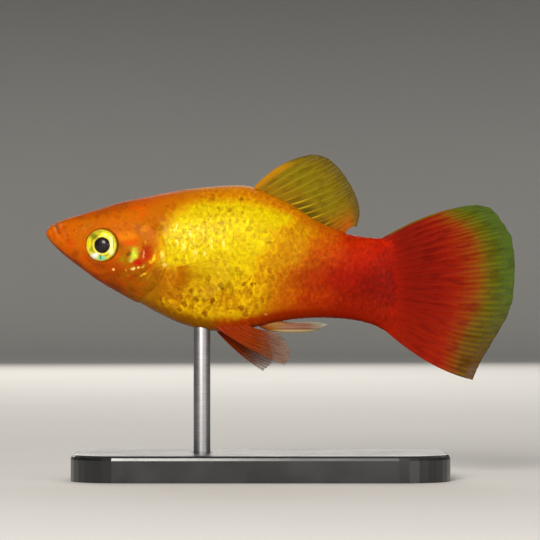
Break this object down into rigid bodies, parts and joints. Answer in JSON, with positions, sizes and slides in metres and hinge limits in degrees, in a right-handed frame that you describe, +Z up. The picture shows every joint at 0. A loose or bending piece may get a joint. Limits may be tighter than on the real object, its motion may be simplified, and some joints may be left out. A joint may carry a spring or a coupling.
{
  "type": "neon marigold platy",
  "caption": "Life-size still model of a male neon marigold platy swimming, with spread tail, held over a plain flat base by one thin rod.",
  "frame": {"origin": "centre of the bounding box at the underside of the display stand's base", "axes": "X along the fish with its head towards -X, +Y towards its right side, +Z up through its back"},
  "size_m": [0.045, 0.017, 0.0311],
  "materials": {
    "orange_skin": "moist scaled skin, deep orange",
    "yellow_skin": "moist scaled skin, metallic golden yellow with olive scale edges",
    "red_skin": "moist scaled skin, bright red",
    "eye": "glossy, yellow iris round a black pupil",
    "red_fin": "thin ribbed membrane, red going olive and clear at the edge",
    "olive_fin": "thin ribbed membrane, olive yellow",
    "clear_fin": "thin ribbed membrane, clear with an orange root",
    "pale_fin": "smooth, orange at the root and whitish to the tip",
    "stand_base": "satin black acrylic",
    "stand_rod": "brushed"
  },
  "bodies": {
    "root": {"head": "orange_skin", "gill_cover_left": "orange_skin", "gill_cover_right": "orange_skin", "eye_left": "eye", "eye_right": "eye", "torso": "yellow_skin", "tail": "red_skin", "caudal_fin": "red_fin", "dorsal_fin": "olive_fin", "pectoral_fin_left": "clear_fin", "pectoral_fin_right": "clear_fin", "pelvic_fin_left": "clear_fin", "pelvic_fin_right": "clear_fin", "gonopodium": "pale_fin", "stand_base": "stand_base", "stand_rod": "stand_rod"}
  },
  "joints": []
}
